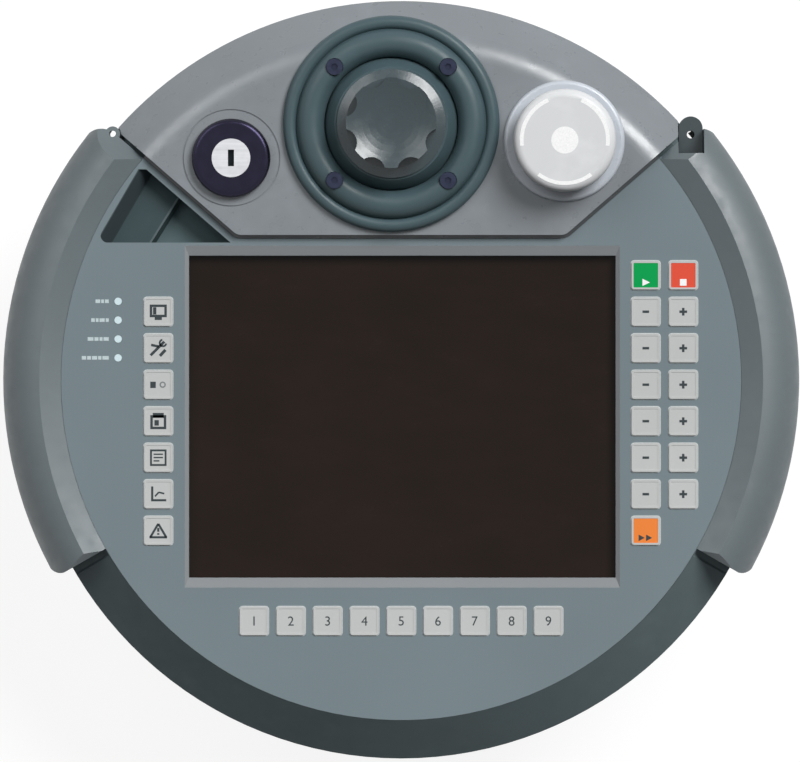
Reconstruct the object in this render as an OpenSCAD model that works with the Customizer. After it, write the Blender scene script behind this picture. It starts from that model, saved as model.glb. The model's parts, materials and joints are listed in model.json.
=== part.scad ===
// Round handheld teach pendant with a touch display, membrane keys, a three-axis joystick,
// a key switch, a stop button, side grips, a stylus and a ring handle with enabling buttons.
// Millimetres. +Z points out of the display, +Y to the top of the display, +X to its right.
// The origin lies on the desk under the middle of the disc.

/* [Housing] */
// Outer radius of the round housing
body_r = 138; // [134:1:142]
// Height of the flat back of the rear shell above the desk
back_z = 50; // [44:1:56]
// Height from the back of the rear shell to the joint between the shells
rear_h = 26; // [24:1:30]
// Height from the joint between the shells to the face of the keypad panel
front_h = 22; // [21:1:26]
// Wall of both shells
wall = 3; // [2.5:0.1:3.5]
// Radius of the rounded flank of the rear shell
flank_r = 22; // [20:1:23]
// Radius of the keypad panel
panel_r = 123.5; // [122:0.5:125]
// Thickness of the keypad panel
panel_t = 2; // [1.6:0.1:2.4]
// Height of the vertical rim of the front shell
rim_h = 6; // [5:0.5:8]
// Width of the flange where the shells meet
flange_w = 8; // [7:0.5:9]
// Width of the dark groove round the control cover
groove_w = 1.3; // [1:0.1:1.6]
// Depth of the groove below the keypad panel
groove_deep = 1.6; // [1:0.1:3]

/* [Side grips] */
// How far the side grips reach past the disc
grip_out = 7; // [5:0.5:9]
// Width of the inner slope of the grips, from the edge of the keypad panel to their ridge
grip_slope_w = 7.7; // [6.4:0.1:8.9]
// Height of the ridge above the keypad panel
grip_ridge_h = 4.1; // [3:0.1:6]
// Angle of the lower end of the right grip
grip_low_angle = -30; // [-33:1:-27]
// Run of the sloped lower ends of the grips
grip_end_run = 3; // [2:0.5:5]
// Rounding of the lower outer corners of the grips
grip_corner_r = 5; // [3:0.5:7]
// Rounding of the upper outer corners of the grips
grip_top_corner_r = 8; // [5:0.5:9]

/* [Control cover] */
// Angle of the cover's right-hand edge
cover_angle = 41; // [40:0.5:43]
// Height of the cover's straight lower edge up the display's vertical axis
cover_y = 52; // [51:0.5:53]
// Rise of the cover's flat face above the keypad panel
cover_rise = 3; // [2:0.5:4]
// Rounding of the cover's lower corners
cover_corner_r = 5; // [3:0.5:7]
// Width of the sloped edge of the cover
cover_slope_w = 14; // [12:0.5:16]
// Thickness of the cover's plate
cover_t = 3; // [2.5:0.5:3.5]
// Depth of the pocket that holds the cover, below the keypad panel
cover_seat = 8; // [7:0.5:9]

/* [Display] */
// Width of the visible screen
screen_w = 155; // [150:1:158]
// Height of the visible screen
screen_h = 117; // [112:1:118]
// Middle of the screen across the panel
screen_x = 0.4; // [0:0.1:0.6]
// Middle of the screen up the display's vertical axis
screen_y = -13.3; // [-15:0.1:-13]
// Width of the sloped bezel at the left and right
bezel_x = 1.5; // [1:0.1:2]
// Width of the sloped bezel at the top and bottom
bezel_y = 3.6; // [2:0.1:3.8]
// Drop of the sloped bezel
bezel_drop = 1; // [0.8:0.1:1.6]
// Thickness of the touch screen
glass_t = 1.8; // [1.4:0.1:2.2]
// Thickness of the display module
module_t = 9.7; // [8:0.1:10]

/* [Keys] */
// Side of a key
key_w = 10.3; // [10:0.1:11]
// Gap round a key
key_gap = 0.3; // [0.25:0.05:0.4]
// Height of a key above the keypad panel
key_rise = 0.6; // [0.4:0.1:1]
// Width of the raised edge of a key
key_edge = 0.7; // [0.5:0.1:1]
// Travel of a key
key_travel = 0.4; // [0.3:0.05:0.5]
// Spacing of the keys in the columns
key_pitch = 13.25; // [13:0.05:13.4]
// Spacing of the keys in the bottom row
row_pitch = 13.36; // [13:0.02:13.5]
// Column of the left-hand keys
left_column = -88.2; // [-89:0.1:-88]
// First column of the right-hand keys
right_column = 88.8; // [88.6:0.1:89.4]
// Distance between the two right-hand columns
column_step = 13.6; // [13.2:0.1:13.8]
// Height of the first row of the left column
key_top_y = 24.8; // [24:0.1:25]
// Height of the bottom row of keys
row_y = -87.5; // [-89:0.1:-87]

/* [Joystick] */
// Middle of the joystick
joy_pos = [-3.6, 92.9];
// Radius of the joystick's mounting ring
joy_ring_r = 39.3; // [38:0.1:39.5]
// Radius of the raised bead of the mounting ring
joy_bead_r = 29.4; // [29:0.1:30]
// Radius of the spherical dust cap
joy_dome_r = 26.1; // [25.6:0.1:26.3]
// Height of the joystick's pivot above the cover's face, below it if negative
joy_pivot = -9; // [-9.5:0.1:-8.5]
// Outer radius of the knob's lobes
knob_r = 16.4; // [15:0.1:17]
// Depth of the notches between the lobes
knob_notch = 2.6; // [1.5:0.1:3]
// Radius of the skirt of the knob
knob_skirt_r = 19.7; // [19:0.1:20]
// Height of the knob
knob_h = 12.3; // [11:0.1:14]
// Number of lobes on the knob
lobes = 8; // [6:1:10]

/* [Key switch and stop button] */
// Middle of the key switch
lock_pos = [-61.7, 80.5];
// Radius of the key switch's bezel
lock_r = 14.3; // [13.5:0.1:15]
// Radius of the key barrel
barrel_r = 7; // [6.5:0.1:7.5]
// Middle of the stop button
stop_pos = [59.1, 86.7];
// Radius of the stop button's collar
collar_r = 22; // [21:0.1:23]
// Radius of the stop button's head
head_r = 18.6; // [17:0.1:19]
// Travel of the stop button
stop_travel = 5; // [4:0.5:5]

/* [Handle] */
// Middle radius of the ring handle
handle_r = 62; // [60:0.5:64]
// Width of the ring handle's bar
handle_w = 30; // [28:0.5:32]
// Height of the ring handle's bar
handle_h = 26; // [24:0.5:28]
// Rounding of the ring handle's bar
handle_round = 7; // [5:0.5:7.2]
// Half the angle of each of the two feet of the handle
foot_angle = 24; // [20:1:28]
// Width of an enabling button
enable_w = 48; // [40:1:50]
// Height of an enabling button
enable_h = 11; // [9:0.5:11.5]
// How far an enabling button stands out
enable_out = 4.5; // [4.2:0.1:5]
// Travel of an enabling button
enable_travel = 4; // [3:0.5:4]

/* [Stylus and cord] */
// Distance of the stylus outside the corner where the cover meets the right grip
stylus_out = 1.25; // [1.1:0.05:1.4]
// Depth of the stylus below the keypad panel
stylus_drop = 14; // [13.5:0.1:14.5]
// Radius of the stylus
stylus_r = 3.5; // [3.2:0.1:3.6]
// Length of the stylus from the underside of its head to its tip
stylus_len = 113; // [100:1:114]
// Width of the stylus's head
stylus_head_w = 8.7; // [8:0.1:9]
// Radius of the bore of the cord eyelet
eyelet_r = 1.2; // [1:0.1:1.4]
// Radius of the cable bore in the gland
cable_r = 4; // [3.5:0.1:4.5]

/* [Fits] */
// Gap round parts that slide or turn in the open
gap = 0.3; // [0.3:0.05:0.4]
// Radial clearance of shafts in their bores
fit = 0.06; // [0.05:0.01:0.08]
// Gap between fixed parts that are pushed together
seat = 0.1; // [0.05:0.01:0.12]
// Radius of the thread of the housing screws
screw_r = 2; // [1.8:0.1:2.2]

/* [Hidden] */
$fn = 96;
big = 400;
parting_z = back_z + rear_h;
panel_z = parting_z + front_h;
rim_z = parting_z + rim_h;
plate_z = panel_z - panel_t;
plate_t = wall - 0.5;
board_z = plate_z - plate_t;
recess_r = panel_r + seat;
cover_z = panel_z + cover_rise;
cover_seat_z = panel_z - cover_seat;
half_groove = groove_w / 2;
slope_run = body_r - recess_r;
slope_drop = panel_z - rim_z;
flange_r = body_r - flange_w;
flange_t = 4;
seal_r = body_r - 4.8;
seal_w = 2.4;
seal_h = 3;
grip_r = body_r + grip_out;
grip_ridge_r = recess_r + grip_slope_w;
grip_ridge_z = panel_z + grip_ridge_h;
grip_wide_z = panel_z - 13;

// Each key's name and place
left_keys = [for (i = [0:6]) [str("key_left_", i + 1), [left_column, key_top_y - i * key_pitch]]];
right_keys = [for (i = [0:5], side = [0, 1])
    [str(side == 0 ? "key_minus_" : "key_plus_", i + 1),
     [right_column + side * column_step, key_top_y - i * key_pitch]]];
mode_keys = [
    ["key_green", [right_column, key_top_y + key_pitch]],
    ["key_red", [right_column + column_step, key_top_y + key_pitch]],
    ["key_orange", [right_column, key_top_y - 6 * key_pitch]]];
row_keys = [for (i = [0:8]) [str("key_number_", i + 1), [(i - 4) * row_pitch, row_y]]];
keys = concat(left_keys, right_keys, mode_keys, row_keys);
key_corner_r = 1;
key_stem_r = 2;
key_dish = 0.15;
dome_h = 0.5;
key_bottom_z = plate_z + key_travel + gap;
stem_bottom_z = board_z + dome_h + key_travel + gap;

// Status lights: places down the left side
light_x = -102.8;
light_ys = [for (i = [0:3]) 28.6 - i * 6.85];
light_r = 1.35;

// Recess beside the control cover, corners anticlockwise
recess_low_y = cover_y - 2.1;
recess_high_y = 76.5;
recess_side = 3;
recess_corners = [
    [-111, recess_low_y],
    [-(recess_low_y * cos(cover_angle) + recess_side) / sin(cover_angle), recess_low_y],
    [-(recess_high_y * cos(cover_angle) + recess_side) / sin(cover_angle), recess_high_y],
    [-95.5, recess_high_y]];
recess_wall = 2;
recess_corner_r = 2.5;
shelf_edge = [[-90.9, recess_low_y], [-80.7, recess_low_y + 16.4]];
recess_shelf = 7;
recess_deep = 11;

// The middle of the free space between a round thing at p and another at q
function between(p, p_r, q, q_r) = let (d = norm(q - p)) p + (q - p) * (p_r + d - q_r) / (2 * d);

// Groove across the slope at the lower end of each grip
foot_groove_w = 2.4;
foot_groove_deep = 0.8;

// Housing screws: places in plan
joy_cup_r = 32;
joy_base_r = joy_cup_r + 4;
lock_floor = 6;
barrel_rise = 0.6;
lock_body_r = 9;
stop_body_r = 11;
screw_places = [
    between(joy_pos, joy_base_r, stop_pos, stop_body_r),
    between(joy_pos, joy_base_r, lock_pos, lock_body_r),
    [91, 52.5], [-91, 52.5],
    [96, -21.5], [-96, -21.5],
    [74, -84], [-74, -84]];
screw_head_r = 3.6;
screw_head_h = 3.5;
screw_len = 19;
boss_r = 6;
boss_h = 10;
post_r = 4;
handle_screw_angles = [for (a = [90, 270], s = [-13, 13]) a + s];

// Boards
main_board_size = [150, 118];
main_board_y = -20;
main_board_lift = 12;
main_board_z = back_z + main_board_lift;
main_board_t = 1.6;
board_post_r = 3.5;
board_post_inset = 6;
// Each part on the main board: its corner from the middle of the board, and its size
board_parts = [
    [[-20, -10], [42, 42, 6]],
    [[-60, -50], [36, 8, 9]],
    [[30, -50], [24, 8, 9]],
    [[40, 20], [18, 26, 4]]];

// Cable gland under the back of the housing
gland_inset = 26;
gland_y = gland_inset - body_r;
gland_z = back_z - 12;
gland_len = 22;
gland_boss_r = 13;
gland_thread_len = 10;
gland_nut_r = 12;
gland_nut_h = 7;
gland_cap_r = 10;
gland_cap_round = 4;
gland_thread_r = 8;
gland_turn_y = gland_y + 16;
gland_boss_len = 28;

// Joystick
joy_pivot_z = cover_z + joy_pivot;
joy_tilt_room = 0.6;
joy_hole_r = joy_dome_r + joy_tilt_room;
joy_screw_r = 1.5;
joy_screw_ring = 29.1;
joy_base_top = cover_seat_z - wall;
joy_base_drop = 30;
joy_floor_drop = 12;
dome_t = 2;
dome_cut_z = cover_z + 7.2;
knob_z = dome_cut_z + gap;
gimbal_r = 13;
gimbal_hub_r = 9;
gimbal_h = 7;
pin_r = 2;
joy_flange_h = 3.5;
joy_ring_t = 1.6;
joy_bead = 5.2;
joy_bead_sunk = 0.6;
joy_lip = 2.5;
joy_dome_gap = 0.6;
joy_head_r = 3;
joy_head_rise = 4.5;
spigot_r = 4;
spigot_h = 7;
spigot_foot = 3.5;
knob_dish = 2.9;
knob_notch_r = 5;
knob_skirt_h = 1;
knob_skirt_slope = 22;

// Key switch and stop button
lock_depth = 36;
lock_rise = 4;
stop_depth = 36;
stop_stem_r = 8;
collar_h = 2.2;
head_z = cover_z + collar_h + stop_travel + 0.7;
head_h = 9.2;

// Stylus and eyelet, by the corners where the cover meets the grips
corner_x = body_r * cos(cover_angle);
corner_y = body_r * sin(cover_angle);
stylus_x = corner_x + stylus_out;
stylus_z = panel_z - stylus_drop;
stylus_head_y = corner_y - 7.85;
stylus_hole_r = 1.4;
stylus_hole_y = stylus_head_y + 6.7;
stylus_pocket = [15, 20];
stylus_pocket_back = 8;
stylus_rib_x = 2.5;
stylus_rib_t = 2.2;
stylus_head_len = 13.3;
stylus_head_h = 7;
stylus_tube_r = stylus_r + 1.7;
stylus_tip_len = 6;
eyelet_pos = [-corner_x - 0.85, corner_y - 0.94];
eyelet_wall = 1.5;
eyelet_h = 5;

// Enabling buttons
enable_z = handle_h / 2;
handle_out_r = handle_r + handle_w / 2;
handle_in_r = handle_r - handle_w / 2;
enable_deep = 8;
enable_back = handle_out_r - enable_deep;
enable_ribs = 4;
enable_rib_step = 3;
enable_rib_r = 1.2;
enable_rib_deep = 0.7;
enable_room_x = enable_back - enable_travel - gap;
switch_block = [10.3, 15, 10];

// ---------------------------------------------------------------- shared outlines

function unit(v) = v / norm(v);

// A convex anticlockwise outline with each side moved out by g
function grown(points, g) = let (n = len(points)) [
    for (i = [0:n - 1])
        let (u = unit(points[i] - points[(i + n - 1) % n]),
             v = unit(points[(i + 1) % n] - points[i]),
             p = [u[1], -u[0]],
             q = [v[1], -v[0]])
        points[i] + g * (p + q) / (1 + p * q)];

function toward(angle) = [cos(angle), sin(angle)];

// What a rounding of radius r takes off the corner p between the directions low and high
module corner_waste(p, low, high, r) {
    half = (high - low) / 2;
    side = r / tan(half);
    middle = p + r / sin(half) * toward(low + half);
    difference() {
        polygon([p, p + side * toward(low), middle, p + side * toward(high)]);
        translate(middle) circle(r);
    }
}

module rounded_rect(w, h, r) {
    square([w, h - 2 * r], center = true);
    square([w - 2 * r, h], center = true);
    for (x = [-1, 1], y = [-1, 1]) translate([x * (w / 2 - r), y * (h / 2 - r)]) circle(r, $fn = 32);
}

// Points of a rounding of radius r at the corner p between the directions low and high
function corner_arc(p, low, high, r, steps = 6) =
    let (middle = p + r / sin((high - low) / 2) * toward((high + low) / 2), turn = 180 - high + low)
    [for (i = [0:steps]) middle + r * toward(high - 270 + i * turn / steps)];

// Plan of the control cover, drawn in by d
module cover_outline(d) {
    low = cover_y + d;
    r = cover_corner_r - d;
    function edge_x(y) = (y * cos(cover_angle) - d) / sin(cover_angle);
    polygon(concat(
        corner_arc([-edge_x(low), low], 0, 180 - cover_angle, r),
        corner_arc([edge_x(low), low], cover_angle, 180, r),
        [[edge_x(big), big], [-edge_x(big), big]]));
}

// Plan between two radial lines, each drawn in by d
module sector_outline(low, high, d) {
    inner = 60;
    function on(angle, t, s) = t * toward(angle) + s * d * toward(angle + 90);
    polygon([on(low, inner, 1), on(low, big, 1), on((low + high) / 2, big, 0),
             on(high, big, -1), on(high, inner, -1)]);
}

// Right half of the front shell's outer section, moved out by d
module front_section(d) {
    polygon([[0, parting_z], [body_r + d, parting_z], [body_r + d, rim_z + d],
             [recess_r, panel_z + d], [0, panel_z + d]]);
}

// The window round the screen: straight above the glass, then sloped to the panel's face
module window() {
    low = board_z - 1;
    edge = panel_z - bezel_drop;
    module taper(half, run) polygon([
        [-half, low], [half, low], [half, edge],
        [half + run, panel_z], [half + run, panel_z + 1],
        [-half - run, panel_z + 1], [-half - run, panel_z], [-half, edge]]);
    translate([screen_x, screen_y]) intersection() {
        rotate([90, 0, 0]) linear_extrude(big, center = true) taper(screen_w / 2, bezel_x);
        rotate([90, 0, 90]) linear_extrude(big, center = true) taper(screen_h / 2, bezel_y);
    }
}

module key_outline(g) rounded_rect(key_w + 2 * g, key_w + 2 * g, key_corner_r + g);

module stylus_cut() {
    translate([stylus_x, stylus_head_y, stylus_z]) rotate([90, 0, 0])
        cylinder(r = stylus_r + seat, h = stylus_len + 1);
}

// Room for the stylus's head, open above and at its outer end
module stylus_notch() {
    w = stylus_head_w + 2 * gap;
    translate([stylus_x - w / 2, stylus_head_y - gap, stylus_z - stylus_head_h / 2 - gap])
        cube([w, big, big]);
}

// Vertical ways for a cord past the edge of the shells
module cord_ways() {
    translate([eyelet_pos[0], eyelet_pos[1], back_z]) cylinder(r = eyelet_r + gap, h = big);
    translate([stylus_x, stylus_hole_y, back_z]) cylinder(r = eyelet_r + 2 * gap, h = big);
}

// ---------------------------------------------------------------- housing

module rear_shell() {
    flat = body_r - flank_r;
    module bowl(r, z) {
        translate([0, z]) square([flat, parting_z - z]);
        intersection() {
            translate([flat, back_z + flank_r]) circle(r);
            translate([flat, 0]) square([flank_r, back_z + flank_r]);
        }
        translate([flat - 1, back_z + flank_r]) square([r + 1, rear_h - flank_r]);
    }
    color([0.42, 0.47, 0.48]) difference() {
        union() {
            rotate_extrude() difference() {
                union() {
                    difference() {
                        bowl(flank_r, back_z);
                        bowl(flank_r - wall, back_z + wall);
                    }
                    translate([flange_r, parting_z - flange_t]) square([flange_w, flange_t]);
                }
                translate([seal_r - seal_w / 2 - seat, parting_z - seal_h / 2 - seat])
                    square([seal_w + 2 * seat, seal_h]);
            }
            for (p = screw_places) translate([p[0], p[1], back_z + 1])
                cylinder(r = boss_r, h = boss_h - 1, $fn = 48);
            board_posts();
            gland_boss();
        }
        for (p = screw_places) translate([p[0], p[1], back_z - 1]) {
            cylinder(r = screw_head_r + gap, h = 1 + boss_h / 2, $fn = 48);
            cylinder(r = screw_r + seat, h = boss_h + 2, $fn = 48);
        }
        for (a = handle_screw_angles) rotate([0, 0, a]) translate([handle_r, 0, back_z - 1])
            cylinder(r = screw_r + seat, h = wall + 2, $fn = 48);
        translate([0, gland_y - 1, gland_z]) rotate([-90, 0, 0])
            cylinder(r = gland_thread_r + seat, h = gland_turn_y - gland_y + 1);
        translate([0, gland_turn_y, gland_z]) cylinder(r = gland_thread_r - 1, h = big / 2);
        cord_ways();
    }
}

module board_posts() {
    x = main_board_size[0] / 2 - board_post_inset;
    y = main_board_size[1] / 2 - board_post_inset;
    for (i = [-1, 1], j = [-1, 1]) translate([i * x, main_board_y + j * y, back_z + 1])
        cylinder(r = board_post_r, h = main_board_lift - 1, $fn = 32);
}

module gland_boss() {
    translate([0, gland_y, gland_z]) rotate([-90, 0, 0]) cylinder(r = gland_boss_r, h = gland_boss_len);
    translate([-gland_boss_r, gland_y, gland_z])
        cube([2 * gland_boss_r, gland_boss_len, back_z - gland_z + 1]);
}

module front_shell() {
    post_low = back_z + boss_h + seat;
    color([0.47, 0.52, 0.54]) difference() {
        union() {
            rotate_extrude() difference() {
                front_section(0);
                translate([0, plate_z]) square([recess_r, big]);
                front_cavity();
                translate([seal_r - seal_w / 2 - seat, parting_z - 1])
                    square([seal_w + 2 * seat, 1 + seal_h / 2 + seat]);
            }
            cover_tub();
            recess_tub();
            stylus_sleeve();
            for (p = screw_places) translate([p[0], p[1], post_low])
                cylinder(r = post_r, h = post_top(p) - post_low, $fn = 48);
        }
        translate([0, 0, cover_seat_z]) linear_extrude(big) cover_outline(-half_groove);
        recess_room();
        window();
        for (k = keys) translate([k[1][0], k[1][1], board_z - 1])
            cylinder(r = key_stem_r + 2 * gap, h = plate_t + 2, $fn = 32);
        for (y = light_ys) translate([light_x, y, board_z - 1])
            cylinder(r = light_r + seat, h = plate_t + 2, $fn = 32);
        for (p = screw_places) translate([p[0], p[1], back_z])
            cylinder(r = screw_r + seat, h = screw_len + 7, $fn = 48);
        translate([joy_pos[0], joy_pos[1], 0]) {
            cylinder(r = joy_hole_r, h = big);
            joystick_screw_holes(joy_screw_r + 0.2);
        }
        translate([lock_pos[0], lock_pos[1], 0]) cylinder(r = lock_body_r + gap, h = big);
        translate([stop_pos[0], stop_pos[1], 0]) cylinder(r = stop_body_r + gap, h = big);
        grip_foot_grooves();
        stylus_notch();
        stylus_cut();
        cord_ways();
    }
}

// Across the slope below each grip, with the side away from the grip bevelled
module grip_foot_grooves() {
    w = foot_groove_w;
    deep = foot_groove_deep;
    for (side = [0, 1]) mirror([side, 0, 0])
        rotate([0, 0, grip_low_angle]) translate([recess_r, 0, panel_z])
        rotate([0, atan(slope_drop / slope_run), 0])
        rotate([90, 0, 90]) translate([0, 0, 0.3]) linear_extrude(big)
        polygon([[half_groove, 1], [half_groove, -deep], [deep - w, -deep], [-w - 1, 1]]);
}

// Where the post at p meets the shell above it
function post_top(p) =
    p[1] > cover_y + 10 ? cover_seat_z - wall + 1 :
    p[0] < 0 && p[1] > cover_y - 5 ? plate_z - recess_deep :
    board_z + 1;

module front_cavity() {
    // Parallel to the slope outside, one wall further in
    in = wall * 1.5;
    k = slope_drop / slope_run;
    low = parting_z + flange_t;
    polygon([[0, parting_z - 1], [flange_r, parting_z - 1], [flange_r, low], [body_r - wall, low],
             [body_r - wall, rim_z - in + wall * k], [recess_r + (panel_z - in - board_z) / k, board_z],
             [0, board_z]]);
}

module cover_tub() {
    intersection() {
        translate([0, 0, cover_seat_z - wall]) linear_extrude(plate_z - cover_seat_z + wall)
            cover_outline(-recess_side);
        rotate_extrude() difference() {
            front_section(0);
            translate([0, plate_z]) square([recess_r, big]);
        }
    }
}

module recess_tub() {
    translate([0, 0, plate_z - recess_deep - recess_wall])
        linear_extrude(recess_deep + recess_wall) polygon(grown(recess_corners, recess_wall));
}

// Plan of the recess, with its lower left corner rounded
module recess_outline() {
    sides = recess_corners[3] - recess_corners[0];
    difference() {
        polygon(recess_corners);
        corner_waste(recess_corners[0], 0, atan2(sides[1], sides[0]), recess_corner_r);
    }
}

// The recess has a shelf on its left and a deeper floor on its right
module recess_room() {
    along = unit(shelf_edge[1] - shelf_edge[0]);
    translate([0, 0, panel_z - recess_shelf]) linear_extrude(big) recess_outline();
    translate([0, 0, panel_z - recess_deep]) linear_extrude(big) intersection() {
        recess_outline();
        polygon([
            shelf_edge[0] - big * along, [big, -big], [big, big], shelf_edge[1] + big * along]);
    }
}

module stylus_sleeve() {
    pocket_z = parting_z + seal_h / 2 + seat;
    intersection() {
        union() {
            translate([stylus_x, stylus_head_y, stylus_z]) rotate([90, 0, 0])
                cylinder(r = stylus_tube_r, h = stylus_len + 3);
            translate([stylus_x + stylus_rib_x, stylus_head_y - stylus_len - 3, stylus_z])
                cube([stylus_rib_t, stylus_len, board_z - stylus_z + 1]);
            translate([stylus_x - stylus_pocket[0] / 2, stylus_head_y - stylus_pocket_back, pocket_z])
                cube([stylus_pocket[0], stylus_pocket[1], big]);
        }
        rotate_extrude() difference() {
            front_section(0);
            translate([0, plate_z]) square([recess_r, big]);
        }
    }
}

module housing_seal() {
    color([0.1, 0.1, 0.11]) translate([0, 0, parting_z - seal_h / 2]) rotate_extrude()
        translate([seal_r - seal_w / 2, 0]) square([seal_w, seal_h]);
}

module machine_screw() {
    difference() {
        union() {
            cylinder(r = screw_head_r, h = screw_head_h, $fn = 48);
            translate([0, 0, screw_head_h - 0.01]) cylinder(r = screw_r, h = screw_len, $fn = 48);
        }
        translate([0, 0, -1]) cylinder(r = 1.6, h = 1 + screw_head_h / 2, $fn = 6);
    }
}

module housing_screws() {
    color([0.7, 0.7, 0.72]) {
        for (p = screw_places) translate([p[0], p[1], back_z + boss_h / 2 - screw_head_h]) machine_screw();
        for (a = handle_screw_angles) rotate([0, 0, a])
            translate([handle_r, 0, back_z + wall + screw_head_h])
            mirror([0, 0, 1]) machine_screw();
    }
}

// ---------------------------------------------------------------- side grips

module grip_section() {
    rise = grip_ridge_z - grip_wide_z;
    run = grip_r - grip_ridge_r;
    arc = (run * run + rise * rise) / (2 * run);
    under = 10;
    difference() {
        union() {
            intersection() {
                translate([grip_r - arc, grip_wide_z]) circle(arc);
                translate([panel_r, grip_wide_z]) square(big);
            }
            intersection() {
                translate([grip_r - under, grip_wide_z]) circle(under);
                translate([panel_r, grip_wide_z - under]) square([big, under]);
            }
        }
        polygon([[0, 0], [body_r + seat, 0], [body_r + seat, rim_z + seat], [recess_r, panel_z + seat],
                 [grip_ridge_r, grip_ridge_z], [grip_ridge_r, big], [0, big]]);
    }
}

// Right-hand grip; the left one mirrors it
module grip() {
    end_line = cover_angle;
    top_y = corner_y - 10.5;
    top_x = sqrt(grip_ridge_r * grip_ridge_r - top_y * top_y);
    // The upper end falls outwards from a level line across the inner slope
    top_fall = 45;
    top_lean = atan(grip_ridge_h / (grip_ridge_r - recess_r) * top_x / grip_ridge_r);
    low_out = half_groove - 0.1;
    difference() {
        intersection() {
            rotate_extrude() grip_section();
            linear_extrude(big) difference() {
                sector_outline(grip_low_angle, end_line, half_groove);
                corner_waste(grip_r * toward(end_line) + low_out * toward(end_line - 90),
                             end_line + 180, end_line + 270, grip_top_corner_r);
                corner_waste(grip_r * toward(grip_low_angle) + low_out * toward(grip_low_angle + 90),
                             grip_low_angle + 90, grip_low_angle + 180, grip_corner_r);
            }
        }
        rotate([0, 0, grip_low_angle]) translate([0, 0, panel_z])
            rotate([atan(grip_ridge_h / grip_end_run), 0, 0]) translate([0, -big / 2, 0])
            cube([big, big, big]);
        translate([top_x, top_y, grip_ridge_z]) rotate([0, -top_lean, 0]) rotate([-top_fall, 0, 0])
            translate([-big / 2, 0, 0]) cube([big, big, big]);
    }
}

module side_grips() {
    color([0.45, 0.5, 0.52]) {
        difference() {
            grip();
            stylus_notch();
            stylus_cut();
        }
        mirror([1, 0, 0]) difference() {
            union() {
                grip();
                translate([-eyelet_pos[0], eyelet_pos[1], rim_z + 3])
                    cylinder(r = eyelet_r + eyelet_wall, h = eyelet_h, $fn = 48);
            }
            translate([-eyelet_pos[0], eyelet_pos[1], 0]) cylinder(r = eyelet_r, h = big, $fn = 48);
        }
    }
}

// ---------------------------------------------------------------- panels

module control_cover() {
    edge_r = body_r - cover_slope_w;
    edge_round = 12;
    seat_r = recess_r + slope_run * (panel_z - cover_seat_z) / slope_drop;
    low_z = cover_z - cover_slope_w;
    module section() {
        difference() {
            polygon([[0, cover_seat_z], [seat_r, cover_seat_z], [body_r, rim_z], [body_r, low_z],
                     [edge_r, cover_z], [0, cover_z]]);
            corner_waste([edge_r, cover_z], 180, 315, edge_round);
        }
    }
    color([0.5, 0.53, 0.55]) difference() {
        union() {
            intersection() {
                rotate_extrude() section();
                linear_extrude(big) cover_outline(half_groove);
            }
            // Lip that closes the foot of the groove
            intersection() {
                cylinder(r = recess_r, h = panel_z - groove_deep);
                translate([0, 0, cover_seat_z]) linear_extrude(big) cover_outline(seat - half_groove);
            }
        }
        difference() {
            intersection() {
                rotate_extrude() polygon([
                    [0, 0], [edge_r, 0], [edge_r + 4, cover_seat_z], [edge_r, cover_z - cover_t - 1],
                    [edge_r - 2, cover_z - cover_t], [0, cover_z - cover_t]]);
                linear_extrude(big) cover_outline(half_groove + cover_t);
            }
            translate([joy_pos[0], joy_pos[1], 0]) cylinder(r = joy_hole_r + 6, h = big);
            translate([lock_pos[0], lock_pos[1], 0]) cylinder(r = lock_body_r + 3, h = big);
            translate([stop_pos[0], stop_pos[1], 0]) cylinder(r = stop_body_r + 3, h = big);
        }
        translate([joy_pos[0], joy_pos[1], 0]) {
            cylinder(r = joy_hole_r, h = big);
            joystick_screw_holes(joy_screw_r + 0.2);
        }
        translate([lock_pos[0], lock_pos[1], 0]) {
            cylinder(r = lock_body_r + gap, h = big);
            translate([0, 0, cover_z - 0.5]) difference() {
                cylinder(r = lock_r + 3.5, h = 1);
                translate([0, 0, -1]) cylinder(r = lock_r + 2.9, h = 3);
            }
        }
        translate([stop_pos[0], stop_pos[1], 0]) cylinder(r = stop_body_r + gap, h = big);
        stylus_notch();
        translate([eyelet_pos[0], eyelet_pos[1], 0]) cylinder(r = eyelet_r + eyelet_wall + gap, h = big);
    }
}

module keypad_panel() {
    color([0.47, 0.52, 0.54]) difference() {
        translate([0, 0, plate_z]) cylinder(r = panel_r, h = panel_t, $fn = 180);
        linear_extrude(big) cover_outline(-half_groove);
        linear_extrude(big) recess_outline();
        window();
        for (k = keys) translate([k[1][0], k[1][1], plate_z - 1])
            linear_extrude(panel_t + 2) key_outline(key_gap);
        for (y = light_ys) translate([light_x, y, plate_z - 1])
            cylinder(r = light_r + seat, h = panel_t + 2, $fn = 32);
    }
}

module keypad_board() {
    room = 1;
    color([0.1, 0.4, 0.2]) {
        translate([0, 0, board_z - 1.6]) linear_extrude(1.6) difference() {
            intersection() {
                circle(panel_r - 6.5);
                translate([-big / 2, row_y - 9])
                    square([stylus_x + 1.4 + big / 2, cover_y - 7 - row_y + 9]);
            }
            translate([screen_x, screen_y])
                square([glass_w() + 2 * room, glass_h() + 2 * room], center = true);
            for (p = screw_places) translate(p) circle(post_r + 0.5, $fn = 48);
        }
        for (k = keys) translate([k[1][0], k[1][1], board_z - 0.1])
            cylinder(r = key_stem_r, h = dome_h + 0.1, $fn = 32);
    }
}

module key(place, tone) {
    color(tone) translate([place[0], place[1], 0]) {
        difference() {
            translate([0, 0, key_bottom_z]) linear_extrude(panel_z + key_rise - key_bottom_z)
                key_outline(0);
            translate([0, 0, panel_z + key_rise - key_dish]) linear_extrude(1) key_outline(-key_edge);
        }
        translate([0, 0, stem_bottom_z])
            cylinder(r = key_stem_r, h = key_bottom_z - stem_bottom_z + 0.1, $fn = 32);
    }
}

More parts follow.
